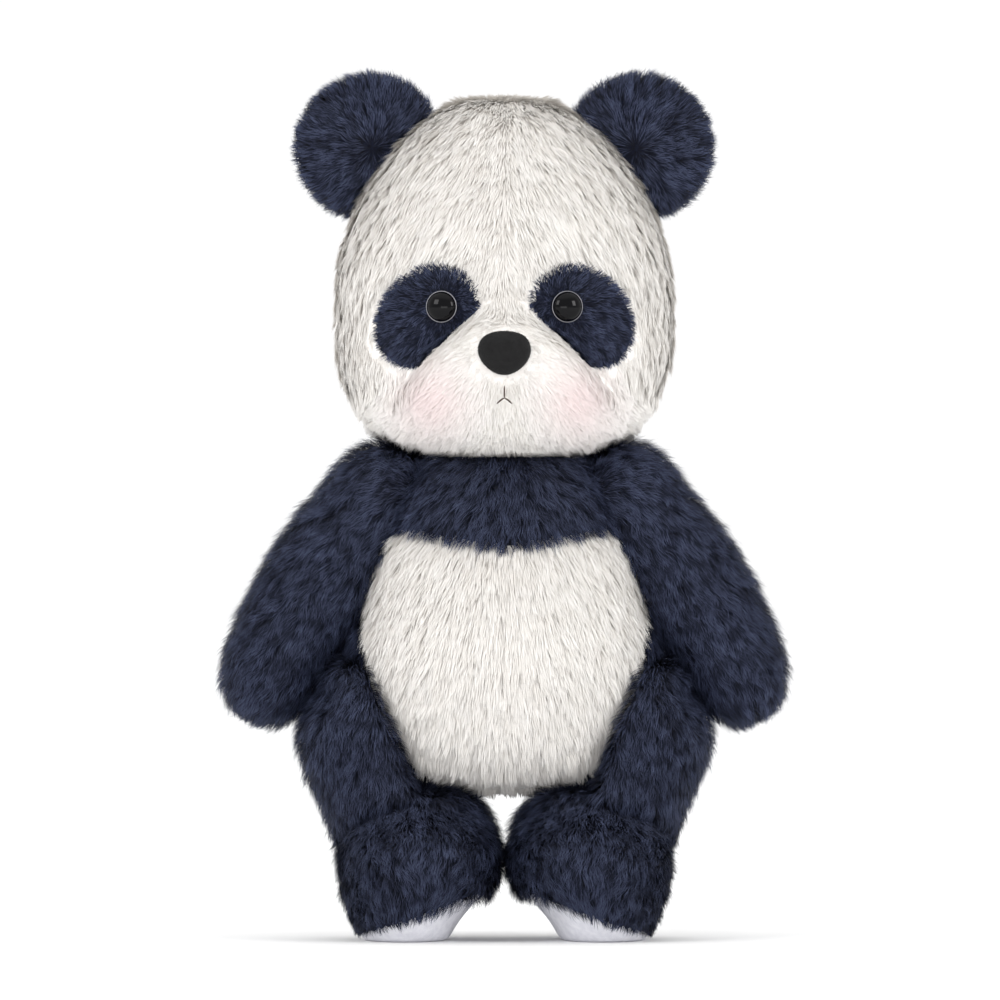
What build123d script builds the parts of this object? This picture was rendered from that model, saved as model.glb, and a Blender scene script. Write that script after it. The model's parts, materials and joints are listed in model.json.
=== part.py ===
from build123d import *
import os
from math import cos, radians, sin

os.makedirs("parts", exist_ok=True)

# Standing jointed toy panda. Millimetres, +Z up, feet on z = 0, face towards -Y,
# the toy's own left on +X. The left side is modelled and mirrored to the right.
# Sizes are to the fabric ground; the pile stands about 3.5 mm proud of it.
# The body is drawn about its own upright axis, and saved SET_BACK behind the origin,
# which is the middle of the space the toy stands in.

SKIN = 2.5  # fabric ground and the dense foot of the pile
GAP = 0.3  # half the clearance at a joint plane
BIG = 900.0
SET_BACK = 7.71

# Joints: one stem through the fabric at each, with a disc on the limb's side
NECK_Y = 1.0
NECK_Z = 166.8
SHOULDER_AT = (34.9, 0.0, 145.5)
SHOULDER_TILT = 28.0  # the arm's plane leans out from vertical
HIP_AT = (42.8, -8.0, 78.0)
HIP_TILT = 20.0  # the leg's plane leans in at the foot

STEM_R = 3.2
STEM_HOLE_R = 3.6
DISC_T = 2.2
LOCK_R = 6.5
LOCK_T = 2.6
NECK_DISC_R = 16.0
SHOULDER_DISC_R = 12.0
HIP_DISC_R = 10.0

# Cross-sections: height, centre x, centre y, half width, half depth
HEAD = [
    (167.1, 0, 1, 29.0, 27.0),
    (171.5, 0, 1, 39.0, 36.5),
    (178.0, 0, 1, 47.0, 43.5),
    (187.0, 0, 1, 52.5, 49.0),
    (198.0, 0, 1, 56.0, 52.0),
    (212.0, 0, 1, 57.3, 53.0),
    (226.0, 0, 1, 57.0, 53.0),
    (240.0, 0, 1, 54.5, 51.0),
    (253.0, 0, 1, 49.7, 47.5),
    (265.0, 0, 1, 43.0, 41.5),
    (275.0, 0, 1, 34.5, 34.0),
    (282.0, 0, 1, 25.5, 25.5),
    (286.8, 0, 1, 15.0, 15.0),
]
TORSO = [
    (52.0, 0, 1, 18.0, 16.0),
    (56.5, 0, 1, 30.0, 25.0),
    (65.0, 0, 1, 41.5, 34.0),
    (80.0, 0, 1, 48.5, 41.0),
    (97.0, 0, 1, 51.0, 43.5),
    (115.0, 0, 1, 49.5, 42.5),
    (135.0, 0, 1, 44.5, 38.5),
    (151.0, 0, 1, 37.5, 33.0),
    (160.5, 0, 1, 31.5, 28.5),
    (166.5, 0, 1, 25.0, 23.0),
]
# Along the arm from the shoulder joint; x is measured out from the joint plane
ARM = [
    (-19.0, 7.5, 0, 8.0, 7.5),
    (-14.5, 9.0, 0, 12.8, 13.0),
    (-7.0, 10.0, 0, 15.6, 16.0),
    (4.0, 10.6, 0, 16.8, 17.2),
    (20.0, 12.8, 0, 18.0, 18.0),
    (38.0, 14.5, 0, 17.8, 18.5),
    (56.0, 15.3, 0, 16.4, 19.0),
    (69.0, 15.2, 0, 14.8, 18.0),
    (77.5, 14.8, 0, 11.8, 14.5),
    (83.0, 14.3, 0, 6.5, 8.0),
]
LEG = [
    (10.0, 31.0, -9, 17.5, 20.0),
    (24.0, 29.6, -8, 23.5, 27.0),
    (35.0, 30.5, -7, 25.0, 28.0),
    (44.0, 34.0, -6, 25.0, 28.5),
    (52.0, 39.0, -5, 23.6, 28.0),
    (61.0, 43.6, -4, 22.8, 27.0),
    (70.0, 46.0, -4, 22.3, 26.0),
    (79.0, 46.5, -4, 19.3, 24.5),
    (87.0, 47.5, -4, 14.0, 20.5),
    (94.0, 50.0, -4, 7.0, 14.0),
]
FOOT = [
    (0.0, 34.0, -13, 13.0, 24.0),
    (4.5, 33.8, -13, 16.3, 30.0),
    (12.0, 31.8, -13, 20.0, 34.0),
    (20.0, 29.6, -13, 23.6, 35.5),
    (28.0, 28.8, -13, 25.0, 35.0),
    (35.5, 29.0, -13, 23.5, 31.0),
    (42.0, 29.6, -13, 18.0, 23.0),
    (46.5, 30.5, -13, 9.5, 13.0),
]
MUZZLE = [
    (171.0, 0, -28.0, 16.0, 11.0),
    (176.0, 0, -28.5, 30.0, 21.5),
    (183.0, 0, -30.0, 37.0, 30.0),
    (190.0, 0, -32.0, 38.0, 32.5),
    (197.0, 0, -33.5, 34.0, 31.5),
    (203.0, 0, -34.0, 28.0, 29.5),
    (209.0, 0, -34.5, 22.0, 25.5),
    (215.0, 0, -35.0, 15.5, 20.5),
    (221.0, 0, -36.0, 8.0, 15.0),
]

ANKLE_FRONT = (-38.0, 52.0)  # y, z of the crease over the instep
ANKLE_BACK = (26.0, 14.0)
SOLE_OUTER = (52.0, 1.5)  # x, z of the sole seam, which is higher on the inner side
SOLE_INNER = (2.0, 19.0)
SIDE_SEAM_Y = 5.0
CROTCH_Z = 49.0  # the legs meet the underside of the torso here
YOKE_MIDDLE_Z = 136.0
YOKE_SIDE_Z = 142.0
BIB_Z = 96.0  # the belly panel narrows to half an oval below here
BIB_HALF_WIDTH = 47.0
BIB_DROP = 46.0
FLANK_TOP_Z = 84.0

EAR_AT = (46.5, 4.0, 273.5)
EAR_R = 22.5
EAR_T = 13.0
EAR_EDGE_R = 5.0

EYE_X = 21.4
EYE_Z = 217.5
EYE_Y = -49.2
EYE_YAW = 14.0
EYE_R = 5.25
EYE_DOME = 3.4
EYE_BACK_T = 1.2
EYE_STEM_R = 1.6
EYE_STEM_L = 15.0
EYE_WASHER_R = 6.0
EYE_WASHER_T = 1.5
PATCH_AT = (28.0, 213.7)
PATCH_LONG = 20.5
PATCH_SHORT = 14.6
PATCH_TURN = 45.0
PATCH_T = 1.0

NOSE_AT = (0.0, -63.4, 201.5)
NOSE_W = 18.0
NOSE_H = 15.0
NOSE_STEM_R = 2.0
NOSE_STEM_L = 24.0
NOSE_WASHER_R = 7.0
MOUTH_T = 0.8


def pod(sections):
    """Closed round body through elliptical cross-sections."""
    return loft([Plane((x, y, z)) * Ellipse(a, b) for z, x, y, a, b in sections])


def inset(sections, t):
    """The same body with its wall moved in by t."""
    (z0, x0, y0, a0, b0), (z1, x1, y1, a1, b1) = sections[0], sections[-1]
    middle = [(z, x, y, a - t, b - t) for z, x, y, a, b in sections[1:-1]]
    return [(z0 + t, x0, y0, a0, b0)] + middle + [(z1 - t, x1, y1, a1, b1)]


def grown(sections, t):
    (z0, x0, y0, a0, b0), (z1, x1, y1, a1, b1) = sections[0], sections[-1]
    middle = [(z, x, y, a + t, b + t) for z, x, y, a, b in sections[1:-1]]
    return [(z0 - t, x0, y0, a0, b0)] + middle + [(z1 + t, x1, y1, a1, b1)]


def beyond(plane, offset=0.0):
    """Everything past the plane on its normal's side."""
    return plane * Pos(0, 0, offset + BIG / 2) * Box(BIG, BIG, BIG)


def post(plane, r, start, end):
    """Round bar along the plane's normal."""
    return plane * Pos(0, 0, (start + end) / 2) * Cylinder(r, end - start)


def other_side(shape):
    return mirror(shape, about=Plane.YZ)


def save(name, shape):
    export_step(Pos(0, SET_BACK, 0) * shape, f"parts/{name}.step")


def save_pair(name, shape):
    save(f"{name}_left", shape)
    save(f"{name}_right", other_side(shape))


# Joint planes: the normal points from the torso into the limb
NECK = Plane((0, NECK_Y, NECK_Z), z_dir=(0, 0, 1))
SHOULDER = Plane(
    SHOULDER_AT,
    x_dir=(0, 1, 0),
    z_dir=(cos(radians(SHOULDER_TILT)), 0, sin(radians(SHOULDER_TILT))),
)
HIP = Plane(
    HIP_AT,
    x_dir=(0, 1, 0),
    z_dir=(cos(radians(HIP_TILT)), 0, -sin(radians(HIP_TILT))),
)
ARM_FRAME = Plane(
    SHOULDER_AT,
    x_dir=SHOULDER.z_dir,
    z_dir=(sin(radians(SHOULDER_TILT)), 0, -cos(radians(SHOULDER_TILT))),
)
FRONT = Plane((0, SIDE_SEAM_Y, 0), z_dir=(0, -1, 0))
LEFT = Plane((0, 0, 0), z_dir=(1, 0, 0))


def tilted_cut(p, q, along):
    """Plane through two points of a profile, facing up."""
    if along == "x":
        return Plane((p[0], 0, p[1]), x_dir=(0, 1, 0), z_dir=(p[1] - q[1], 0, q[0] - p[0]))
    return Plane((0, p[0], p[1]), x_dir=(1, 0, 0), z_dir=(0, p[1] - q[1], q[0] - p[0]))


ANKLE = tilted_cut(ANKLE_FRONT, ANKLE_BACK, "y")
SOLE = tilted_cut(SOLE_INNER, SOLE_OUTER, "x")


def disc_and_stem(plane, r, wall, reach):
    """Moulded joint disc inside the limb, with its stem pointing into the torso."""
    start = GAP + wall + 0.1
    return post(plane, r, start, start + DISC_T) + post(plane, STEM_R, -reach, start)


def washer(plane, r):
    start = GAP + SKIN + 0.1
    return post(plane, r, -start - DISC_T, -start) - post(
        plane, STEM_HOLE_R, -start - DISC_T, -start
    )


def lock_washer(plane):
    start = GAP + SKIN + DISC_T + 0.5
    ring = post(plane, LOCK_R, -start - LOCK_T, -start)
    return ring - post(plane, STEM_R, -start - LOCK_T, -start)


def joint_pocket(plane, r, reach):
    """Room in the torso's filling for the washer, lock washer and stem."""
    start = GAP + SKIN
    return (
        post(plane, r + 0.4, -start - DISC_T - 0.4, -start + 1)
        + post(plane, LOCK_R + 0.5, -start - DISC_T - LOCK_T - 1.2, -start)
        + post(plane, STEM_HOLE_R + 0.2, -reach - 0.6, 0)
    )


STEM_REACH = GAP + SKIN + DISC_T + LOCK_T + 3.0
JOINTS = {
    "neck": (NECK, NECK_DISC_R),
    "shoulder": (SHOULDER, SHOULDER_DISC_R),
    "hip": (HIP, HIP_DISC_R),
}


def make_torso():
    outer = pod(TORSO)
    core = pod(inset(TORSO, SKIN))
    holes = joint_pocket(NECK, NECK_DISC_R, STEM_REACH)
    stems = post(NECK, STEM_HOLE_R, -STEM_REACH, 5)
    for key in ("shoulder", "hip"):
        plane, r = JOINTS[key]
        for flip in (lambda s: s, other_side):
            outer -= flip(beyond(plane, -GAP))
            core -= flip(beyond(plane, -GAP - SKIN))
            holes += flip(joint_pocket(plane, r, STEM_REACH))
            stems += flip(post(plane, STEM_HOLE_R, -STEM_REACH, 5))
    skin = outer - core - stems
    yoke_line = [
        (-BIG / 2, YOKE_SIDE_Z + 30),
        (-37, YOKE_SIDE_Z),
        (0, YOKE_MIDDLE_Z),
        (37, YOKE_SIDE_Z),
        (BIG / 2, YOKE_SIDE_Z + 30),
        (BIG / 2, BIG),
        (-BIG / 2, BIG),
    ]
    yoke = extrude(Plane.XZ * make_face(Polyline(*yoke_line, close=True)), BIG / 2, both=True)
    oval = Pos(0, BIB_Z) * Ellipse(BIB_HALF_WIDTH, BIB_DROP)
    above = Pos(0, FLANK_TOP_Z + BIG / 2) * Rectangle(BIG, BIG)
    bib = extrude(Plane.XZ * (oval + above), BIG / 2, both=True)
    front, back = skin & beyond(FRONT), skin - beyond(FRONT)
    save("chest_yoke", front & yoke)
    save("belly", (front - yoke) & bib)
    save("flank_left", (front - bib) & beyond(LEFT))
    save("flank_right", (front - bib) - beyond(LEFT))
    save("back_yoke", back & yoke)
    save("back_left", (back - yoke) & beyond(LEFT))
    save("back_right", (back - yoke) - beyond(LEFT))
    save("torso_stuffing", core - holes)
    save("neck_washer", washer(NECK, NECK_DISC_R))
    save_pair("shoulder_washer", washer(SHOULDER, SHOULDER_DISC_R))
    save_pair("hip_washer", washer(HIP, HIP_DISC_R))


def eye_plane():
    yaw = radians(EYE_YAW)
    return Plane((EYE_X, EYE_Y, EYE_Z), x_dir=(cos(yaw), sin(yaw), 0), z_dir=(sin(yaw), -cos(yaw), 0))


def make_eye(plane):
    """Black moulded back with its stem, and a clear domed lens in front."""
    back = post(plane, EYE_R, 0, EYE_BACK_T) + post(plane, EYE_STEM_R, -EYE_STEM_L, 0)
    rise = EYE_DOME - EYE_BACK_T
    ball_r = (EYE_R**2 + rise**2) / (2 * rise)
    ball = plane * Pos(0, 0, EYE_DOME - ball_r) * Sphere(ball_r)
    lens = ball & post(plane, EYE_R, EYE_BACK_T, EYE_DOME + 1)
    start = -EYE_STEM_L + 1.5
    ring = post(plane, EYE_WASHER_R, start, start + EYE_WASHER_T)
    return back, lens, ring - post(plane, EYE_STEM_R, start, start + EYE_WASHER_T)


def nose_face(scale_by):
    """Rounded triangle, wide across the top, level where its halves meet on the middle line."""
    w, h = NOSE_W * scale_by / 2, NOSE_H * scale_by / 2
    edges = []
    for x in (w, -w):
        edges.append(Bezier((0, h), (x * 0.62, h), (x, h * 0.72), (x, h * 0.14)))
        edges.append(Bezier((x, h * 0.14), (x, -h * 0.42), (x * 0.46, -h), (0, -h)))
    return make_face(edges)


def make_nose():
    plane = Plane(NOSE_AT, x_dir=(1, 0, 0), z_dir=(0, -1, 0))
    steps = [(-2.0, 0.90), (0.5, 1.0), (3.0, 0.93), (5.0, 0.72), (6.2, 0.4)]
    button = loft([plane.offset(d) * nose_face(k) for d, k in steps])
    stem = post(plane, NOSE_STEM_R, -NOSE_STEM_L, -2.0)
    start = -NOSE_STEM_L + 1.5
    ring = post(plane, NOSE_WASHER_R, start, start + EYE_WASHER_T)
    return button, stem, ring - post(plane, NOSE_STEM_R, start, start + EYE_WASHER_T)


def make_mouth(muzzle_body):
    """Raised thread line on the muzzle: a short drop and two arms."""
    layer = pod(grown(MUZZLE, MOUTH_T)) - muzzle_body
    lines = Pos(0, -60, 188.2) * Box(1.4, 30, 4.6)
    for side in (-1, 1):
        lines += Pos(side * 1.8, -60, 184.9) * Rotation(0, side * 38, 0) * Box(4.6, 30, 1.4)
    return layer & lines


def make_head():
    outer = pod(HEAD)
    core = pod(inset(HEAD, SKIN))
    muzzle_body = pod(MUZZLE)
    button, nose_stem, nose_ring = make_nose()
    eye = eye_plane()
    eye_back, lens, eye_ring = make_eye(eye)
    disc = disc_and_stem(NECK, NECK_DISC_R, SKIN, STEM_REACH)

    def both(shape):
        return shape + other_side(shape)

    eye_stems = both(post(eye, EYE_STEM_R + 0.1, -EYE_STEM_L - 0.5, 1))
    eye_seats = both(post(eye, EYE_R + 0.05, 0, EYE_DOME + 2))
    nose_room = button + post(
        Plane(NOSE_AT, z_dir=(0, -1, 0)), NOSE_STEM_R + 0.1, -NOSE_STEM_L - 0.5, 0
    )
    neck_stem = post(NECK, STEM_R + 0.1, -5, 4)

    skin = outer - core - eye_stems - eye_seats - nose_room - neck_stem
    front, back = skin & beyond(FRONT), skin - beyond(FRONT)
    save("face_left", front & beyond(LEFT))
    save("face_right", front - beyond(LEFT))
    save("head_back_left", back & beyond(LEFT))
    save("head_back_right", back - beyond(LEFT))

    washers = both(post(eye, EYE_WASHER_R + 0.2, -EYE_STEM_L + 1.3, -EYE_STEM_L + 3.2))
    washers += post(
        Plane(NOSE_AT, z_dir=(0, -1, 0)), NOSE_WASHER_R + 0.2, -NOSE_STEM_L + 1.3, -NOSE_STEM_L + 3.2
    )
    start = GAP + SKIN
    neck_room = post(NECK, NECK_DISC_R + 0.2, start - 2, start + DISC_T + 0.3)
    save("head_stuffing", core - eye_stems - nose_room - washers - neck_room)

    save("muzzle", muzzle_body - outer - nose_room - eye_seats)
    save("mouth_stitch", make_mouth(muzzle_body))
    save("nose", button + nose_stem)
    save("nose_washer", nose_ring)

    layer = pod(grown(HEAD, PATCH_T)) - outer
    oval = Plane((PATCH_AT[0], 0, PATCH_AT[1]), x_dir=(1, 0, 0), z_dir=(0, -1, 0))
    shape = extrude(oval * Rotation(0, 0, -PATCH_TURN) * Ellipse(PATCH_LONG, PATCH_SHORT), BIG / 4)
    save_pair("eye_patch", (layer & shape) - eye_stems - eye_seats - muzzle_body)
    save_pair("eye", eye_back)
    save_pair("eye_lens", lens)
    save_pair("eye_washer", eye_ring)

    ear = Plane(EAR_AT, z_dir=(0, -1, 0)) * Cylinder(EAR_R, EAR_T)
    ear = fillet(ear.edges().filter_by(GeomType.CIRCLE), EAR_EDGE_R) - outer
    ear_front = beyond(Plane(EAR_AT, z_dir=(0, -1, 0)))
    save_pair("ear_front", ear & ear_front)
    save_pair("ear_back", ear - ear_front)
    save("neck_disc", disc)
    save("neck_lock", lock_washer(NECK))


def make_arm():
    outer = ARM_FRAME.location * pod(ARM) & beyond(SHOULDER, GAP)
    core = ARM_FRAME.location * pod(inset(ARM, SKIN)) & beyond(SHOULDER, GAP + SKIN)
    room = post(SHOULDER, SHOULDER_DISC_R + 0.2, GAP + SKIN - 1, GAP + SKIN + DISC_T + 0.3)
    skin = outer - core - post(SHOULDER, STEM_R + 0.1, -1, GAP + SKIN)
    split = beyond(SHOULDER, ARM[4][1])
    save_pair("arm_outer", skin & split)
    save_pair("arm_inner", skin - split)
    save_pair("arm_stuffing", core - room)
    save_pair("shoulder_disc", disc_and_stem(SHOULDER, SHOULDER_DISC_R, SKIN, STEM_REACH))
    save_pair("shoulder_lock", lock_washer(SHOULDER))


def beside_torso(shape, wall):
    """Cut the leg flat where the torso sits against it; below the torso it runs further in."""
    above = beyond(Plane((0, 0, CROTCH_Z - wall), z_dir=(0, 0, 1)))
    return shape - (above - beyond(HIP, GAP + wall))


def make_leg():
    leg = beside_torso(pod(LEG), 0) & beyond(ANKLE)
    leg_core = beside_torso(pod(inset(LEG, SKIN)), SKIN)
    foot = pod(FOOT) - beyond(ANKLE)
    foot_core = pod(inset(FOOT, SKIN)) - beyond(ANKLE, -SKIN)
    core = leg_core + foot_core
    room = post(HIP, HIP_DISC_R + 0.2, GAP + SKIN - 1, GAP + SKIN + DISC_T + 0.3)
    leg_skin = leg - core - post(HIP, STEM_R + 0.1, -1, GAP + SKIN)
    foot_skin = foot - core
    split = beyond(HIP, 12.0)
    save_pair("leg_outer", leg_skin & split)
    save_pair("leg_inner", leg_skin - split)
    save_pair("foot_upper", foot_skin & beyond(SOLE))
    save_pair("sole", foot_skin - beyond(SOLE))
    save_pair("leg_stuffing", core - room)
    save_pair("hip_disc", disc_and_stem(HIP, HIP_DISC_R, SKIN, STEM_REACH))
    save_pair("hip_lock", lock_washer(HIP))


make_torso()
make_head()
make_arm()
make_leg()
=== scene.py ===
import json
import math

import bpy
import numpy as np
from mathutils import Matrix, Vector


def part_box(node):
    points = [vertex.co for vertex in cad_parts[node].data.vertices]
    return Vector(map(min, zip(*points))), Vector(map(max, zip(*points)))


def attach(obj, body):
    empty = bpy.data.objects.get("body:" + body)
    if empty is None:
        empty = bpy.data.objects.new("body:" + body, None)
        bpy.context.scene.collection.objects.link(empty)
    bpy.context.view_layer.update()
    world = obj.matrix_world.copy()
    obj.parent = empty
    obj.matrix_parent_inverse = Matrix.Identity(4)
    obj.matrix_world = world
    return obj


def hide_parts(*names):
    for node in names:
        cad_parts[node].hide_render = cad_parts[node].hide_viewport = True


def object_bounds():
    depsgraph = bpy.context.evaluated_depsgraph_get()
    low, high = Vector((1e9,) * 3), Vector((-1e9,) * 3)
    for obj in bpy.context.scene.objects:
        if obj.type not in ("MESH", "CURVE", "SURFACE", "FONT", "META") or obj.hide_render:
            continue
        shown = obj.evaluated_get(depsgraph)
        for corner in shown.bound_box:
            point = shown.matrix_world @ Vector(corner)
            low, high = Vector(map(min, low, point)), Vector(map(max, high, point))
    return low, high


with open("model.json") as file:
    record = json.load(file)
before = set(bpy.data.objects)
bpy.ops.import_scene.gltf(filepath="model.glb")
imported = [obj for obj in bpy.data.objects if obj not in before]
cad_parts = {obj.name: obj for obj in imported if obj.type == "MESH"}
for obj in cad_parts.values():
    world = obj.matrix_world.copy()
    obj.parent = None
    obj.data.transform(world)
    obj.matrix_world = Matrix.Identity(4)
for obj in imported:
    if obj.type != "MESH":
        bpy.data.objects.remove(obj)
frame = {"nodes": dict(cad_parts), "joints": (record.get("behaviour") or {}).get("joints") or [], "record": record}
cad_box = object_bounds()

# Metres, as in the frame: +Z up, face towards -Y, the toy's own left on +X.
MM = 0.001
SIDES = (("left", 1.0), ("right", -1.0))
JOINTS = {j["name"]: j for j in frame["joints"]}
AXIS = np.array(JOINTS["head_turn"]["pos_m"])
FLOOR_Z = cad_box[0][2]
DENSITY = 4.0


def mid(node):
    """Centre of a CAD node's box."""
    lo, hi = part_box(node)
    return np.array((lo + hi) / 2)


def half(node):
    """Half the size of a CAD node's box."""
    lo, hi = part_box(node)
    return np.array((hi - lo) / 2)


def unit(v):
    return v / np.maximum(np.linalg.norm(v, axis=-1, keepdims=True), 1e-12)


def ease(low, high, x):
    """Smooth step from 0 at low to 1 at high."""
    t = np.clip((x - low) / (high - low), 0, 1)
    return t * t * (3 - 2 * t)


def bell(distance, width):
    return np.exp(-((distance / width) ** 2))


# ---------------------------------------------------------------- camera

DISTANCE = 4.0
VIEW_WIDTH = 0.345
camera = bpy.data.objects.new("camera", bpy.data.cameras.new("camera"))
bpy.context.scene.collection.objects.link(camera)
camera.data.lens = camera.data.sensor_width * DISTANCE / VIEW_WIDTH
camera.location = (-0.0015, -DISTANCE, FLOOR_Z + 0.1515)
camera.rotation_euler = (math.radians(90), 0, 0)
camera.data.clip_start, camera.data.clip_end = 0.5, 30
bpy.context.scene.camera = camera
bpy.context.scene.view_settings.view_transform = "Standard"

# ---------------------------------------------------------------- materials


def srgb(r, g, b):
    c = [x / 255 for x in (r, g, b)]
    return tuple(x / 12.92 if x <= 0.04045 else ((x + 0.055) / 1.055) ** 2.4 for x in c) + (1.0,)


class Surface:
    """A material's node tree, with short calls to add and join nodes."""

    def __init__(self, name, **sockets):
        self.mat = bpy.data.materials.new(name)
        self.mat.use_nodes = True
        self.tree = self.mat.node_tree
        self.shader = self.tree.nodes["Principled BSDF"]
        for key, value in sockets.items():
            self.shader.inputs[key.replace("_", " ")].default_value = value

    def add(self, kind, **settings):
        node = self.tree.nodes.new("ShaderNode" + kind)
        for key, value in settings.items():
            setattr(node, key, value)
        return node

    def feed(self, value, socket):
        if isinstance(value, (int, float, tuple)):
            socket.default_value = value
        else:
            self.tree.links.new(value, socket)

    def math(self, kind, a, b, clamp=False):
        node = self.add("Math", operation=kind, use_clamp=clamp)
        self.feed(a, node.inputs[0])
        self.feed(b, node.inputs[1])
        return node.outputs[0]

    def ramp(self, fac, *stops):
        node = self.add("ValToRGB")
        elements = node.color_ramp.elements
        while len(elements) < len(stops):
            elements.new(0.5)
        for element, (at, colour) in zip(elements, stops):
            element.position, element.color = at, colour
        self.feed(fac, node.inputs[0])
        return node.outputs[0]

    def mix(self, kind, fac, a, b):
        node = self.add("Mix", data_type="RGBA", blend_type=kind)
        for value, index in ((fac, 0), (a, 6), (b, 7)):
            self.feed(value, node.inputs[index])
        return node.outputs[2]

    def noise(self, scale, detail=3.0):
        node = self.add("TexNoise")
        node.inputs["Scale"].default_value = scale
        node.inputs["Detail"].default_value = detail
        self.feed(self.add("TexCoord").outputs["Object"], node.inputs["Vector"])
        return node.outputs[0]

    def bump(self, height, strength, distance):
        node = self.add("Bump")
        node.inputs["Strength"].default_value = strength
        node.inputs["Distance"].default_value = distance
        self.feed(height, node.inputs["Height"])
        self.feed(node.outputs[0], self.shader.inputs["Normal"])

    def paint(self, colour):
        self.feed(colour, self.shader.inputs["Base Color"])
        return self.mat


def fur_material(name, root, middle, tip, shade, flush=None, **sockets):
    """Pile: u holds the strand's tone, and past the middle its flush; v runs root to tip, darker at the root as
    painted shade deep in the pile.
    """
    m = Surface(name, Roughness=0.65, Specular_IOR_Level=0.2, **sockets)
    split = m.add("SeparateXYZ")
    m.feed(m.add("UVMap", uv_map="OFBake").outputs[0], split.inputs[0])
    double = m.math("MULTIPLY", split.outputs[0], 2.0)
    # Ramp along the strand: its darker root end is painted shade deep in the pile, over the fibre's own colour.
    along = m.ramp(split.outputs[1], (0.0, root), (0.5, middle), (1.0, tip))
    tone = m.ramp(m.math("MINIMUM", double, 1.0), (0.0, shade), (1.0, (1.0, 1.0, 1.0, 1.0)))
    colour = m.mix("MULTIPLY", 1.0, along, tone)
    if flush:
        colour = m.mix("MIX", m.math("SUBTRACT", double, 1.0, clamp=True), colour, flush)
    return m.paint(colour)


def cloth_material(name, dark, light):
    """Knitted backing at the foot of the pile."""
    m = Surface(name, Roughness=0.9, Specular_IOR_Level=0.2)
    m.bump(m.noise(2600, 2), 0.4, 0.0004)
    return m.paint(m.ramp(m.noise(420), (0.3, dark), (0.7, light)))


def hard_material(name, dark, light, roughness, scale=60.0, **sockets):
    """Moulded or turned part with a faint mottle."""
    m = Surface(name, Roughness=roughness, **sockets)
    return m.paint(m.ramp(m.noise(scale), (0.3, dark), (0.7, light)))


# Root, middle and tip colours of each pile: the darker roots are painted shade deep in the pile.
NAVY_PILE = fur_material(
    "navy_pile", srgb(6, 8, 17), srgb(28, 33, 53), srgb(90, 99, 130), (0.22, 0.23, 0.28, 1)
)
WHITE_PILE = fur_material(
    "white_pile", srgb(232, 228, 223), srgb(240, 237, 233), srgb(245, 243, 240),
    (0.92, 0.908, 0.89, 1), flush=srgb(238, 204, 207),
)
NAVY_CLOTH = cloth_material("navy_cloth", srgb(16, 19, 32), srgb(30, 35, 55))
WHITE_CLOTH = cloth_material("white_cloth", srgb(240, 235, 230), srgb(250, 247, 244))
SOLE_CLOTH = cloth_material("sole_cloth", srgb(222, 222, 230), srgb(238, 238, 244))
EYE_BLACK = hard_material("eye_black", srgb(4, 4, 6), srgb(9, 9, 12), 0.07, Specular_IOR_Level=0.16)
# Grey of the thin ring at each eye's clear edge: a painted highlight where that edge catches the light.
EYE_RIM_PAINTED_HIGHLIGHT = hard_material("eye_rim_painted_highlight", srgb(104, 104, 110), srgb(150, 150, 156), 0.2)
NOSE_FLOCK = hard_material("nose_flock", srgb(7, 7, 8), srgb(18, 17, 18), 0.95, scale=900.0)
# The flock fibres also darken towards the root as painted shade.
FLOCK_FIBRE = fur_material(
    "flock_fibre", srgb(5, 5, 6), srgb(12, 12, 13), srgb(34, 32, 34), (0.5, 0.5, 0.5, 1)
)
THREAD = hard_material("thread", srgb(62, 52, 48), srgb(96, 82, 76), 0.8, scale=900.0)
PLASTIC = hard_material("white_plastic", srgb(226, 226, 220), srgb(240, 240, 236), 0.35)
STEEL = hard_material("lock_steel", srgb(150, 152, 156), srgb(190, 192, 196), 0.3, Metallic=1.0)
HARDWARE = {"white_plastic": PLASTIC, "lock_steel": STEEL}

# ---------------------------------------------------------------- skins


def mesh_arrays(mesh):
    verts = np.empty(len(mesh.vertices) * 3, np.float32)
    mesh.vertices.foreach_get("co", verts)
    mesh.calc_loop_triangles()
    tris = np.empty(len(mesh.loop_triangles) * 3, np.int32)
    mesh.loop_triangles.foreach_get("vertices", tris)
    return verts.reshape(-1, 3).astype(float), tris.reshape(-1, 3)


def neighbour_sum(verts, a, b):
    """Sum of each vertex's neighbours, over edges from a to b."""
    size = len(verts)
    sums = [np.bincount(a, verts[b, k], size) + np.bincount(b, verts[a, k], size) for k in range(3)]
    return np.stack(sums, 1)


def relax(verts, edges, rounds):
    """Smooth without shrinking: a pass in, then a slightly larger pass out."""
    a, b = edges.T
    count = np.bincount(edges.ravel(), minlength=len(verts))[:, None]
    for step in (0.5, -0.52) * rounds:
        verts = verts + step * (neighbour_sum(verts, a, b) / count - verts)
    return verts


def soften(verts, edges, amount, rounds):
    """Plain smoothing, by an amount from 0 to 1 at each vertex."""
    a, b = edges.T
    count = np.bincount(edges.ravel(), minlength=len(verts))[:, None]
    for _ in range(rounds):
        verts = verts + (neighbour_sum(verts, a, b) / count - verts) * amount[:, None] * 0.6
    return verts


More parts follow.
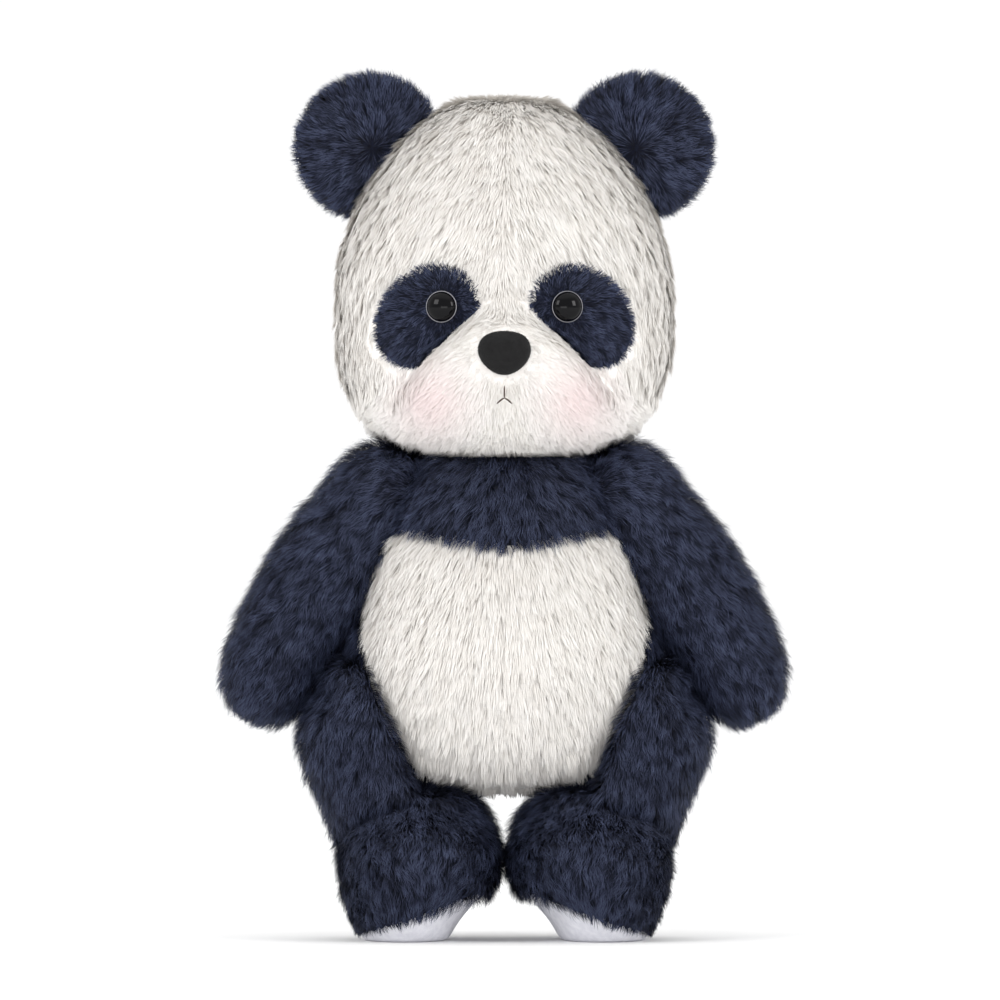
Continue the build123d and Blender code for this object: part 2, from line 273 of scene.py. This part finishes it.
def shrink_wrap(nodes, cell, rounds):
    """One closed skin over several touching CAD nodes, as vertices, triangles and edges."""
    verts, faces = [], []
    for name in nodes:
        mesh = frame["nodes"][name].data
        base = len(verts)
        verts += [v.co[:] for v in mesh.vertices]
        faces += [[base + i for i in p.vertices] for p in mesh.polygons]
    rough = bpy.data.meshes.new("rough")
    rough.from_pydata(verts, [], faces)
    obj = bpy.data.objects.new("rough", rough)
    bpy.context.scene.collection.objects.link(obj)
    remesh = obj.modifiers.new("remesh", "REMESH")
    remesh.mode = "VOXEL"
    remesh.voxel_size = cell * MM
    graph = bpy.context.evaluated_depsgraph_get()
    clean = obj.evaluated_get(graph).to_mesh()
    points, tris = mesh_arrays(clean)
    edges = np.array([e.vertices[:] for e in clean.edges])
    obj.evaluated_get(graph).to_mesh_clear()
    bpy.data.objects.remove(obj)
    bpy.data.meshes.remove(rough)
    return relax(points, edges, rounds), tris, edges


def normals_of(verts, tris):
    a, b, c = (verts[tris[:, k]] for k in range(3))
    face = np.cross(b - a, c - a)
    size = len(verts)
    sums = [sum(np.bincount(tris[:, j], face[:, k], size) for j in range(3)) for k in range(3)]
    return unit(np.stack(sums, 1))


def place(name, mesh, body):
    obj = bpy.data.objects.new(name, mesh)
    bpy.context.scene.collection.objects.link(obj)
    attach(obj, body)
    return obj


def build(name, body, verts, faces, materials, region=None):
    """Mesh object; region(face middles) gives the index of each face's material."""
    mesh = bpy.data.meshes.new(name)
    mesh.from_pydata([tuple(v) for v in verts], [], [tuple(int(i) for i in f) for f in faces])
    for m in materials:
        mesh.materials.append(m)
    if region is not None:
        mesh.polygons.foreach_set("material_index", region(verts[faces].mean(1)).astype(np.int32))
    mesh.polygons.foreach_set("use_smooth", np.ones(len(faces), bool))
    mesh.update()
    return place(name, mesh, body)


# ---------------------------------------------------------------- pile


def lattice(points, cell, seed):
    """Nearest jittered lattice point to each point, and three random numbers for it."""
    base = np.floor(points / cell).astype(np.int64)
    best = np.full(len(points), np.inf)
    nearest, chance = np.zeros_like(points), np.zeros_like(points)
    for step in np.ndindex(3, 3, 3):
        c = base + np.array(step) - 1
        h = (c[:, 0] * 73856093) ^ (c[:, 1] * 19349663) ^ (c[:, 2] * 83492791) ^ (seed * 2654435)
        r = np.stack([((h ^ (h >> 13)) * k & 0xFFFFF) / 0xFFFFF for k in (40503, 60493, 52711)], 1)
        f = (c + r) * cell
        d = ((f - points) ** 2).sum(1)
        closer = d < best
        best[closer] = d[closer]
        nearest[closer], chance[closer] = f[closer], r[closer]
    return nearest, chance


def scatter(rng, verts, tris, density):
    """Random roots over a skin: points and normals, density per square millimetre."""
    normals = normals_of(verts, tris)
    a, b, c = (verts[tris[:, k]] for k in range(3))
    total = np.cumsum(np.linalg.norm(np.cross(b - a, c - a), axis=1) / 2)
    count = int(total[-1] / MM**2 * density)
    pick = np.minimum(np.searchsorted(total, rng.random(count) * total[-1]), len(tris) - 1)
    s, t = np.sqrt(rng.random(count)), rng.random(count)
    weight = np.stack([1 - s, s * (1 - t), s * t], 1)
    corner = tris[pick]
    points = sum(verts[corner[:, k]] * weight[:, k : k + 1] for k in range(3))
    return points, unit(sum(normals[corner[:, k]] * weight[:, k : k + 1] for k in range(3)))


RIBBON_FACES = np.array([0, 1, 3, 2, 2, 3, 5, 4, 4, 5, 6])
RIBBON_STARTS = np.array([0, 4, 8])
RIBBON_HEIGHTS = np.array([0, 0, 0.34, 0.34, 0.68, 0.68, 1.0])


def pile(name, body, material, rng, p, n, comb, length, style, flush=None):
    """Hair of one piece of pile fabric: a tapered, bent ribbon from each root."""
    count = len(p)
    chance_of = rng.random((count, 2))
    flow = unit(comb - n * (comb * n).sum(1, keepdims=True))
    clump, chance = lattice(p, style["clump"] * MM, style["seed"])
    pull = clump - p
    pull -= n * (pull * n).sum(1, keepdims=True)
    flow = unit(flow + np.cross(n, flow) * (chance[:, :1] - 0.5) * 2 * style["sway"])
    wild = rng.normal(0, style["wild"], (count, 3))
    size = np.broadcast_to(length, count)[:, None] * MM
    size = size * (0.74 + 0.34 * chance_of[:, :1] + style["uneven"] * (chance[:, 1:2] - 0.5))
    lean = np.radians(style["lean"]) * (0.85 + 0.3 * chance[:, 2:3])
    gather = pull / size * style["gather"]
    point = p - n * 0.4 * MM
    rows, twist = [], rng.normal(0, style["twist"], (count, 1)).clip(-0.5, 0.5)
    first, last = (0.45, 1.35) if style["slant"] else (0.85, 1.12)
    for bend, part, wide, grip in ((first, 0.34, 1.0, 0.0), (1.0, 0.34, 0.9, 1.0), (last, 0.32, 0.6, 1.2)):
        d = unit(n * np.cos(lean * bend) + flow * np.sin(lean * bend) + wild + gather * grip)
        across = unit(np.cross(d, n) * np.cos(twist) + n * np.sin(twist))
        across *= style["width"] * MM / 2 * wide
        rows += [point - across, point + across]
        point = point + d * size * part
    verts = np.stack(rows + [point], 1)
    verts[..., 2] = np.maximum(verts[..., 2], FLOOR_Z + 0.05 * MM)
    tone = 0.5 * np.clip(0.4 + style["mottle"] * (chance[:, 1] - 0.5) + 0.5 * (chance_of[:, 1] - 0.3), 0, 1)
    if flush is not None:
        tone = np.where(flush > 0.03, 0.5 + 0.5 * np.clip(flush, 0, 1), tone)
    loops = (np.arange(count)[:, None] * 7 + RIBBON_FACES).ravel()
    mesh = bpy.data.meshes.new(name)
    mesh.vertices.add(count * 7)
    mesh.loops.add(count * 11)
    mesh.polygons.add(count * 3)
    mesh.vertices.foreach_set("co", verts.astype(np.float32).ravel())
    mesh.loops.foreach_set("vertex_index", loops.astype(np.int32))
    starts = (np.arange(count)[:, None] * 11 + RIBBON_STARTS).ravel()
    mesh.polygons.foreach_set("loop_start", starts.astype(np.int32))
    mesh.polygons.foreach_set("use_smooth", np.ones(count * 3, bool))
    uv = np.stack([np.repeat(tone[:, None], 7, 1), np.broadcast_to(RIBBON_HEIGHTS, (count, 7))], 2)
    layer = mesh.uv_layers.new(name="OFBake")
    layer.data.foreach_set("uv", uv.reshape(-1, 2)[loops].astype(np.float32).ravel())
    mesh.update(calc_edges=True)
    if style["slant"]:
        soft = unit(n + style["slant"] * flow + 0.25 * wild)
        shading = mesh.attributes.new("custom_normal", "FLOAT_VECTOR", "POINT")
        shading.data.foreach_set("vector", np.repeat(soft, 7, 0).astype(np.float32).ravel())
    mesh.materials.append(material)
    return place(name, mesh, body)


# A pile's style. clump: spacing of its tufts in mm; sway: how far a tuft turns from the combing;
# wild, twist: scatter of single strands; lean: degrees from upright; gather: pull to the tuft's
# middle; width: of a strand in mm; uneven, mottle: spread of length and tone between tufts;
# slant: lean of the shading normals, or None to shade each ribbon by its own faces.
NAVY = dict(
    clump=2.8, sway=0.45, wild=0.14, twist=0.25, lean=58, gather=0.5, width=0.25,
    uneven=0.3, mottle=0.9, slant=0.35, seed=3,
)
WHITE = dict(
    clump=3.4, sway=0.14, wild=0.035, twist=0.1, lean=77, gather=0.06, width=0.42,
    uneven=0.08, mottle=0.5, slant=None, seed=5,
)
SHORT = dict(
    clump=2.6, sway=0.14, wild=0.035, twist=0.1, lean=74, gather=0.06, width=0.4,
    uneven=0.06, mottle=0.4, slant=None, seed=7,
)
NAP = dict(
    clump=1.0, sway=0.5, wild=0.5, twist=0.25, lean=25, gather=0.1, width=0.12,
    uneven=0.4, mottle=1.0, slant=0.35, seed=9,
)
NAVY_LENGTH, WHITE_LENGTH, EAR_LENGTH, NAP_LENGTH = 8.0, 7.0, 6.5, 0.75  # mm

# ---------------------------------------------------------------- head

FACE_NODES = ("face_left", "face_right", "head_back_left", "head_back_right", "muzzle")
HEAD_MID = mid("head_stuffing")
NOSE_MID, NOSE_HALF = mid("nose"), half("nose")
EYES = {s: mid(f"eye_lens_{s}") for s, _ in SIDES}
PATCHES = {s: (mid(f"eye_patch_{s}"), half(f"eye_patch_{s}")) for s, _ in SIDES}
MUZZLE_MID, MUZZLE_HALF = mid("muzzle"), half("muzzle")
MUZZLE_SEAM = EYES["left"][2] + 9 * MM  # height the seam would reach on the middle line
CROWN = HEAD_MID + (0, 34 * MM, 56 * MM)


def patch_reach(p, side, sign):
    """Less than 1 inside the eye patch, an oval turned down and out."""
    centre, size = PATCHES[side]
    x, z = (p[:, 0] - centre[0]) * sign + 1.5 * MM, p[:, 2] - centre[2] - 0.5 * MM
    down, up = (x - z) / math.sqrt(2), (x + z) / math.sqrt(2)
    reach = np.hypot(down / (size[0] * 1.08), up / (size[0] * 0.86))
    return np.where(p[:, 1] < AXIS[1], reach, 9.0)


def below_seam(p):
    """Positive on the muzzle's side of the seam that runs down and out under each eye."""
    drop = MUZZLE_SEAM - p[:, 2] - np.hypot(p[:, 0], 4 * MM)
    return np.where(p[:, 1] < AXIS[1], drop, -1.0)


def muzzle_reach(p):
    d = (p - MUZZLE_MID) / MUZZLE_HALF
    return np.where(p[:, 1] < AXIS[1], np.hypot(d[:, 0], d[:, 2]), 9.0)


def shape_head(verts):
    """Seam down the forehead, hollows at the eyes and mouth, and a fold along the muzzle's seam."""
    out = unit(verts - HEAD_MID)
    x, y, z = verts.T
    front = ease(0.0, 0.02, AXIS[1] - y)
    dip = 1.0 * bell(x, 1.8 * MM) * front * ease(0, 12 * MM, z - EYES["left"][2])
    for side, _ in SIDES:
        dip += 1.5 * bell(np.linalg.norm(verts - EYES[side], axis=1), 8 * MM)
    dip += 1.2 * bell(np.hypot(x, z - NOSE_MID[2] + 13 * MM), 4 * MM) * front
    seam = below_seam(verts)
    dip += 1.3 * bell(seam + 1.5 * MM, 2.2 * MM) * ease(1.25, 0.95, muzzle_reach(verts))
    dip -= 1.4 * bell(seam - 7 * MM, 6 * MM) * ease(1.3, 0.7, muzzle_reach(verts)) * front
    return verts - out * (dip * MM)[:, None]


def on_patch(p):
    reach = np.minimum(*(patch_reach(p, s, k) for s, k in SIDES))
    return (reach < 1.0) & (below_seam(p) < 0)


def make_head():
    """Head skin, and its pile in pieces: front and back, patches and muzzle."""
    verts, tris, edges = shrink_wrap(FACE_NODES + ("head_stuffing", "neck_disc"), 1.6, 12)
    lower_face = ease(-6 * MM, 2 * MM, below_seam(verts)) * ease(0, 7 * MM, NOSE_MID[2] - verts[:, 2])
    verts = soften(verts, edges, lower_face, 100)
    verts = shape_head(verts)
    dome = bell(np.hypot(verts[:, 0], verts[:, 1] - AXIS[1]), 26 * MM)
    verts[:, 2] += dome * ease(0, 40 * MM, verts[:, 2] - HEAD_MID[2]) * 2.6 * MM
    skin = build("head_skin", "head", verts, tris, [WHITE_CLOTH, NAVY_CLOTH], on_patch)
    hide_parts(*FACE_NODES, "head_stuffing")
    rng = np.random.default_rng(11)
    p, n = scatter(rng, verts, tris, DENSITY)
    keep = p[:, 2] > AXIS[2] + 0.5 * MM
    for side, _ in SIDES:
        keep &= np.linalg.norm(p - EYES[side], axis=1) > 5.2 * MM
    nose_gap = np.hypot((p[:, 0] - NOSE_MID[0]) / NOSE_HALF[0], (p[:, 2] - NOSE_MID[2]) / NOSE_HALF[2])
    keep &= (nose_gap > 0.98) | (p[:, 1] > AXIS[1])
    p, n = p[keep], n[keep]
    rim = np.minimum(*(patch_reach(p, s, k) for s, k in SIDES))
    snout, seam = muzzle_reach(p), below_seam(p)
    patch = (rim < 1) & (seam < 0)
    comb = unit(p - CROWN)
    comb[:, 0] += np.tanh(p[:, 0] / (14 * MM)) * 0.45
    near = (bell(snout, 0.85) * ease(-2 * MM, 2 * MM, seam))[:, None]
    comb = unit(comb) * (1 - near) + unit((p - NOSE_MID) * (1, 0.3, 1) + (0, 0, -4 * MM)) * near
    comb[:, 1] += 1.2 * ease(0.25, 0.7, -n[:, 2])
    length = 4.2 + 3.0 * ease(0.5, 1.7, snout)
    length = np.where(seam < 0, np.maximum(length, 6.0), length)
    length = np.where(patch | (seam > 0), length, length * (0.45 + 0.55 * ease(1.0, 1.5, rim)))
    for side, _ in SIDES:
        eye_gap = np.linalg.norm(p - EYES[side], axis=1)
        length = length * (0.45 + 0.55 * ease(4 * MM, 13 * MM, eye_gap))
    length *= 0.45 + 0.55 * ease(0.9, 1.7, np.where(p[:, 1] < AXIS[1], nose_gap[keep], 9))
    flush = np.zeros(len(p))
    for _, sign in SIDES:
        spot = np.linalg.norm((p - (sign * 24 * MM, 0, NOSE_MID[2] - 15 * MM))[:, [0, 2]], axis=1)
        flush = np.maximum(flush, 0.42 * bell(spot, 12 * MM))
    flush[p[:, 1] > AXIS[1]] = 0
    snout_piece = ~patch & (p[:, 1] < AXIS[1]) & (seam > 0) & (snout < 1.15)
    rest = ~patch & ~snout_piece
    front = p[:, 1] < AXIS[1] - 2 * MM
    for side, sign in SIDES:
        for where, there in (("front", front), ("back", ~front)):
            m = rest & (p[:, 0] * sign >= 0) & there
            pile(f"head_pile_{where}_{side}", "head", WHITE_PILE, rng,
                 p[m], n[m], comb[m], length[m], WHITE, flush[m])
        m = patch & (p[:, 0] * sign > 0)
        away = unit((p[m] - EYES[side]) * (1, 0.3, 1)) + (0.3 * sign, 0, -0.2)
        patch_pile = pile(f"eye_patch_pile_{side}", "head", NAVY_PILE, rng,
                          p[m], n[m], away, length[m] * (0.85 - 0.4 * ease(0.7, 1.0, rim[m])),
                          dict(NAVY, clump=2.6))
        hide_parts(f"eye_patch_{side}")
    m = snout_piece
    pile("muzzle_pile", "head", WHITE_PILE, rng,
         p[m], n[m], comb[m], length[m], SHORT, flush[m])


def lathe(profile, rings=48):
    """Vertices and faces of a profile of (radius, height) turned about local +Z."""
    angle = np.arange(rings) * 2 * math.pi / rings
    verts = [(r * math.cos(a), r * math.sin(a), h) for r, h in profile for a in angle]
    faces = []
    for i in range(len(profile) - 1):
        for j in range(rings):
            k = (j + 1) % rings
            faces.append((i * rings + j, i * rings + k, (i + 1) * rings + k, (i + 1) * rings + j))
    return np.array(verts), np.array(faces)


def make_eyes():
    """Domed black safety eye, with a thin grey ring as the painted highlight on the edge of its clear front."""
    for side, sign in SIDES:
        yaw = math.radians(14) * sign
        out = np.array((math.sin(yaw), -math.cos(yaw), 0))
        right = np.array((math.cos(yaw), math.sin(yaw), 0))
        base = EYES[side] - out * 1.1 * MM
        radius, rise = 5.25 * MM, 3.4 * MM
        arc = [(radius * math.cos(t), rise * math.sin(t)) for t in np.linspace(0, math.pi / 2 - 0.01, 20)]
        for name, profile, material in (
            ("eye_dome", [(radius * 0.6, -1.5 * MM), (radius, -1.2 * MM)] + arc, EYE_BLACK),
            # Grey ring: the painted highlight of the clear front's edge.
            ("eye_rim_painted_highlight", [(radius + 0.17 * MM * math.cos(t), 0.4 * MM + 0.17 * MM * math.sin(t))
                         for t in np.linspace(0, 2 * math.pi, 13)], EYE_RIM_PAINTED_HIGHLIGHT),
        ):
            local, faces = lathe(profile)
            verts = base + local[:, :1] * right + local[:, 1:2] * (0, 0, 1) + local[:, 2:] * out
            obj = build(f"{name}_{side}", "head", verts, faces, [material])
            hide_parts(f"eye_{side}" if name == "eye_dome" else f"eye_lens_{side}")


def make_nose():
    """Flocked nose button: the moulded shape with short fibres standing on it."""
    verts, tris, _ = shrink_wrap(("nose",), 0.6, 2)
    skin = build("nose_button", "head", verts, tris, [NOSE_FLOCK])
    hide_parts("nose")
    rng = np.random.default_rng(17)
    p, n = scatter(rng, verts, tris, DENSITY * 6)
    m = p[:, 1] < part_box("nose")[0][1] + 9 * MM
    pile("nose_nap", "head", FLOCK_FIBRE, rng,
         p[m], n[m], n[m] + (0.3, 0, -1), NAP_LENGTH, NAP)


def tube(points, radius, sides=8):
    """Vertices and faces of a round thread through points."""
    points = np.array(points)
    along = unit(np.gradient(points, axis=0))
    across = unit(np.cross(along, (0, -1.0, 0.05)))
    third = np.cross(along, across)
    angle = np.arange(sides) * 2 * math.pi / sides
    ring = np.cos(angle)[None, :, None] * across[:, None] + np.sin(angle)[None, :, None] * third[:, None]
    place_of = np.arange(len(points))
    taper = np.clip(np.minimum(place_of + 1, len(points) - place_of) / 2.5, 0.3, 1)
    verts = (points[:, None] + ring * radius * taper[:, None, None]).reshape(-1, 3)
    faces = []
    for i in range(len(points) - 1):
        for j in range(sides):
            k = (j + 1) % sides
            faces.append((i * sides + j, i * sides + k, (i + 1) * sides + k, (i + 1) * sides + j))
    return verts, np.array(faces)


def make_mouth():
    """Stitched mouth: a short drop under the nose and two small arms."""
    lo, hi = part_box("mouth_stitch")
    top, fork = hi[2] - 0.2 * MM, lo[2] + 3.2 * MM
    front = lo[1] - 1.4 * MM
    lean = (hi[1] - lo[1]) / (hi[2] - lo[2])

    def on_front(x, z):
        return (x, front + (top - z) * lean + abs(x) * 0.15, z)

    runs = [[on_front(0, z) for z in np.linspace(top, fork, 8)]]
    for _, sign in SIDES:
        runs.append([on_front(sign * t * 2.6 * MM, fork - (t**1.4) * 1.9 * MM) for t in np.linspace(0, 1, 8)])
    verts, faces = [], []
    for run in runs:
        v, f = tube(run, 0.3 * MM)
        faces.append(f + sum(len(x) for x in verts))
        verts.append(v)
    obj = build("mouth_thread", "head", np.vstack(verts), np.vstack(faces), [THREAD])
    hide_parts("mouth_stitch")


def make_ears():
    for side, sign in SIDES:
        pair = (f"ear_front_{side}", f"ear_back_{side}")
        lo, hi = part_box(pair[0])
        centre = np.array(((hi[0] + lo[0]) / 2 - sign * 1.5 * MM, mid(pair[0])[1], hi[2] - 23 * MM))
        verts, tris, _ = shrink_wrap(pair, 1.3, 5)
        skin = build(f"ear_skin_{side}", "head", verts, tris, [NAVY_CLOTH])
        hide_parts(*pair)
        rng = np.random.default_rng(31 if sign > 0 else 37)
        p, n = scatter(rng, verts, tris, DENSITY)
        m = ((p - HEAD_MID) * n).sum(1) > -8 * MM
        p, n = p[m], n[m]
        away = unit((p - centre) * (1, 0.0, 1)) + (sign * 0.2, 0, 0.05)
        pile(f"ear_pile_{side}", "head", NAVY_PILE, rng,
             p, n, away, EAR_LENGTH, dict(NAVY, lean=54))


# ---------------------------------------------------------------- torso

TORSO_NODES = ("chest_yoke", "back_yoke", "belly", "flank_left", "flank_right", "back_left", "back_right")
LIMB_JOINTS = ("shoulder_left", "shoulder_right", "hip_left", "hip_right")
YOKE_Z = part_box("chest_yoke")[0][2]
YOKE_RISE = 0.16  # climb of the yoke's seam towards the sides
BIB_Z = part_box("belly")[0][2] + 44 * MM  # where the belly panel is widest
BIB_DROP, BIB_HALF_WIDTH, BELLY_EDGE = 46 * MM, 47 * MM, 47.5 * MM
BARE_RADIUS = 17 * MM


def joint_face(name):
    """A limb joint's centre, and its axis pointing away from the torso."""
    at, axis = np.array(JOINTS[name]["pos_m"]), unit(np.array(JOINTS[name]["axis"], float))
    return at, axis * np.sign(axis[0] * at[0])


def pressed(p, n, name, out_sign):
    """Roots where torso and limb press together round a joint; the pile there is worn flat."""
    at, out = joint_face(name)
    depth = (p - at) @ out
    radius = np.linalg.norm(p - at - depth[:, None] * out, axis=1)
    return (np.abs(depth) < 2.5 * MM) & (radius < BARE_RADIUS) & (n @ out * out_sign > 0.85)


def on_torso_navy(p):
    """The yoke, and the flanks outside the belly panel's oval."""
    yoke = p[:, 2] > YOKE_Z + np.abs(p[:, 0]) * YOKE_RISE
    drop = np.clip((BIB_Z - p[:, 2]) / BIB_DROP, 0, 1)
    width = BIB_HALF_WIDTH * np.sqrt(1 - drop**2)
    flank = (np.abs(p[:, 0]) > width) & (p[:, 2] < BIB_Z + 8 * MM)
    return yoke | flank | (np.abs(p[:, 0]) > BELLY_EDGE)


def make_torso():
    """Torso skin, fuller at the waist and under the hips so no gap shows beside the limbs."""
    verts, tris, _ = shrink_wrap(TORSO_NODES + ("torso_stuffing", "neck_washer"), 1.8, 6)
    x, y, z = verts.T
    out = unit((verts - AXIS) * (1, 1, 0))
    front = ease(0, 10 * MM, AXIS[1] - y)
    dip = 0.7 * bell(x, 1.6 * MM) * front * ease(YOKE_Z, YOKE_Z - 8 * MM, z)
    dip += 1.0 * bell(z - YOKE_Z - np.abs(x) * YOKE_RISE, 2.0 * MM)
    verts = verts - out * (dip * MM)[:, None]
    waist = bell(z - FLOOR_Z - 101 * MM, 9 * MM) * ease(42 * MM, 50 * MM, np.abs(x))
    verts[:, 0] += np.sign(x) * waist * 3.2 * MM
    hip_x = abs(JOINTS["hip_left"]["pos_m"][0])
    droop = bell(np.abs(x) - hip_x + 14 * MM, 10 * MM) * ease(BIB_Z - 24 * MM, BIB_Z - 40 * MM, z)
    verts[:, 2] -= droop * 3.5 * MM
    skin = build("torso_skin", "torso", verts, tris, [WHITE_CLOTH, NAVY_CLOTH], on_torso_navy)
    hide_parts(*TORSO_NODES, "torso_stuffing")
    rng = np.random.default_rng(47)
    p, n = scatter(rng, verts, tris, DENSITY)
    keep = p[:, 2] < AXIS[2] - 1.5 * MM
    for name in LIMB_JOINTS:
        keep &= ~pressed(p, n, name, 1)
    p, n = p[keep], n[keep]
    navy = on_torso_navy(p)
    yoke = navy & (p[:, 2] > YOKE_Z - 2 * MM)
    front = p[:, 1] < AXIS[1] + 4 * MM
    radial = unit((p - AXIS - (0, 0, 6 * MM)) * (1, 0.4, 1))
    down = np.zeros_like(p)
    down[:, 0] = np.tanh(p[:, 0] / (30 * MM)) * 0.45
    down[:, 2] = -1
    for name, m, comb, length, style, material, slot in (
        ("yoke_pile_front", yoke & front, radial, NAVY_LENGTH, NAVY, NAVY_PILE, "navy_pile"),
        ("yoke_pile_back", yoke & ~front, radial, NAVY_LENGTH, NAVY, NAVY_PILE, "navy_pile"),
        ("flank_pile", navy & ~yoke, down, WHITE_LENGTH, NAVY, NAVY_PILE, "navy_pile"),
        ("belly_pile", ~navy & front, down, WHITE_LENGTH, WHITE, WHITE_PILE, "white_pile"),
        ("back_pile", ~navy & ~front, down, WHITE_LENGTH, WHITE, WHITE_PILE, "white_pile"),
    ):
        pile(name, "torso", material, rng, p[m], n[m], comb[m], length, style)


# ---------------------------------------------------------------- limbs


def make_arms():
    for side, sign in SIDES:
        nodes = (f"arm_outer_{side}", f"arm_inner_{side}")
        inside = (f"arm_stuffing_{side}", f"shoulder_disc_{side}")
        at, out = joint_face(f"shoulder_{side}")
        verts, tris, _ = shrink_wrap(nodes + inside, 1.5, 6)
        skin = build(f"arm_skin_{side}", f"arm_{side}", verts, tris, [NAVY_CLOTH])
        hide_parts(*nodes, f"arm_stuffing_{side}")
        rng = np.random.default_rng(61 if sign > 0 else 62)
        p, n = scatter(rng, verts, tris, DENSITY)
        m = ~pressed(p, n, f"shoulder_{side}", -1)
        p, n = p[m], n[m]
        down = np.cross(out, (0, 1.0, 0)) * sign
        down = down * (-1 if down[2] > 0 else 1)
        fan = unit(p - at - out * 8 * MM)
        far = ease(0, 45 * MM, (p - at) @ down)[:, None]
        comb = fan * (1 - 0.6 * far) + down * (0.35 + 0.65 * far)
        pile(f"arm_pile_{side}", f"arm_{side}", NAVY_PILE, rng,
             p, n, comb, NAVY_LENGTH, NAVY)


def sole_rise(p, sign):
    """Height of the sole's edge, which climbs towards the other foot."""
    return (1.5 + 17.5 * np.clip((52 * MM - p[:, 0] * sign) / (50 * MM), 0, 1)) * MM + FLOOR_Z


def make_legs():
    for side, sign in SIDES:
        upper = (f"leg_outer_{side}", f"leg_inner_{side}", f"foot_upper_{side}")
        nodes = upper + (f"sole_{side}", f"leg_stuffing_{side}", f"hip_disc_{side}")
        at, out = joint_face(f"hip_{side}")
        verts, tris, _ = shrink_wrap(nodes, 1.6, 8)
        verts = verts + normals_of(verts, tris) * 0.6 * MM
        verts[:, 2] = np.maximum(verts[:, 2], FLOOR_Z + 0.05 * MM)

        def on_sole(q):
            return q[:, 2] < sole_rise(q, sign)

        body = f"leg_{side}"
        skin = build(f"leg_skin_{side}", body, verts, tris, [NAVY_CLOTH, SOLE_CLOTH], on_sole)
        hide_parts(*upper, f"sole_{side}", f"leg_stuffing_{side}")
        rng = np.random.default_rng(71 if sign > 0 else 72)
        p, n = scatter(rng, verts, tris, DENSITY)
        keep = ~pressed(p, n, f"hip_{side}", -1) & ~on_sole(p)
        p, n = p[keep], n[keep]
        instep = mid(f"foot_upper_{side}") + (0, 18 * MM, 22 * MM)
        low = ease(46 * MM, 30 * MM, p[:, 2] - FLOOR_Z)[:, None]
        leg_comb = (p - at) * (5, 5, 0) + (0, 0, -1.0)
        foot_comb = unit(p - instep) + (0, -0.1, -0.3)
        comb = leg_comb * (1 - low) + foot_comb * low
        length = NAVY_LENGTH - 1.5 * low[:, 0] * ease(0.6, 0.0, (p[:, 2] - FLOOR_Z) / (30 * MM))
        length = np.minimum(length, 2.0 + (p[:, 2] - FLOOR_Z) / MM * 0.33)
        foot = low[:, 0] > 0.5
        for name, m in (("leg_pile", ~foot), ("foot_pile", foot)):
            pile(f"{name}_{side}", body, NAVY_PILE, rng, p[m], n[m], comb[m], length[m], NAVY)


# ---------------------------------------------------------------- stage


def softbox(name, at, size, power):
    lamp = bpy.data.objects.new(name, bpy.data.lights.new(name, "AREA"))
    lamp.data.shape = "RECTANGLE"
    lamp.data.size, lamp.data.size_y = size
    lamp.data.energy = power
    lamp.location = at
    aim = Vector((0, 0, 0.16)) - Vector(at)
    lamp.rotation_euler = aim.to_track_quat("-Z", "Y").to_euler()
    bpy.context.scene.collection.objects.link(lamp)


def make_stage():
    """White floor under a sky brightest behind and above, with three weak softboxes in front."""
    mesh = bpy.data.meshes.new("floor")
    mesh.from_pydata([(-9, -9, 0), (9, -9, 0), (9, 9, 0), (-9, 9, 0)], [], [(0, 1, 2, 3)])
    paper = Surface("paper", Roughness=0.9, Specular_IOR_Level=0.1)
    tint = paper.ramp(paper.noise(3), (0, (0.96, 0.96, 0.96, 1)), (1, (0.98, 0.98, 0.98, 1)))
    mesh.materials.append(paper.paint(tint))
    floor = bpy.data.objects.new("floor", mesh)
    bpy.context.scene.collection.objects.link(floor)
    floor.location.z = FLOOR_Z
    world = bpy.data.worlds.new("studio")
    bpy.context.scene.world = world
    world.use_nodes = True
    tree = world.node_tree
    split = tree.nodes.new("ShaderNodeSeparateXYZ")
    tree.links.new(tree.nodes.new("ShaderNodeTexCoord").outputs["Generated"], split.inputs[0])
    fades = []
    for axis, low, high, dark, bright in ((1, -0.7, 0.2, 0.66, 1.03), (2, 0.4, 0.8, 0.0, 1.35)):
        fade = tree.nodes.new("ShaderNodeMapRange")
        tree.links.new(split.outputs[axis], fade.inputs["Value"])
        for key, value in (("From Min", low), ("From Max", high), ("To Min", dark), ("To Max", bright)):
            fade.inputs[key].default_value = value
        fades.append(fade.outputs[0])
    brightest = tree.nodes.new("ShaderNodeMath")
    brightest.operation = "MAXIMUM"
    tree.links.new(fades[0], brightest.inputs[0])
    tree.links.new(fades[1], brightest.inputs[1])
    tree.links.new(brightest.outputs[0], tree.nodes["Background"].inputs[1])
    tree.nodes["Background"].inputs[0].default_value = (1, 1, 1, 1)
    softbox("key", (-1.5, -1.4, 1.1), (0.9, 0.9), 15)
    softbox("fill", (1.6, -1.2, 0.8), (0.6, 0.8), 12)
    softbox("low", (-0.1, -1.9, 0.12), (1.2, 0.3), 3)


make_head()
make_eyes()
make_nose()
make_mouth()
make_ears()
make_torso()
make_arms()
make_legs()
make_stage()

for part in frame["record"]["subparts"]:
    material = HARDWARE.get(part["material_slot"])
    if material:
        mesh = frame["nodes"][part["node"]].data
        mesh.materials.clear()
        mesh.materials.append(material)
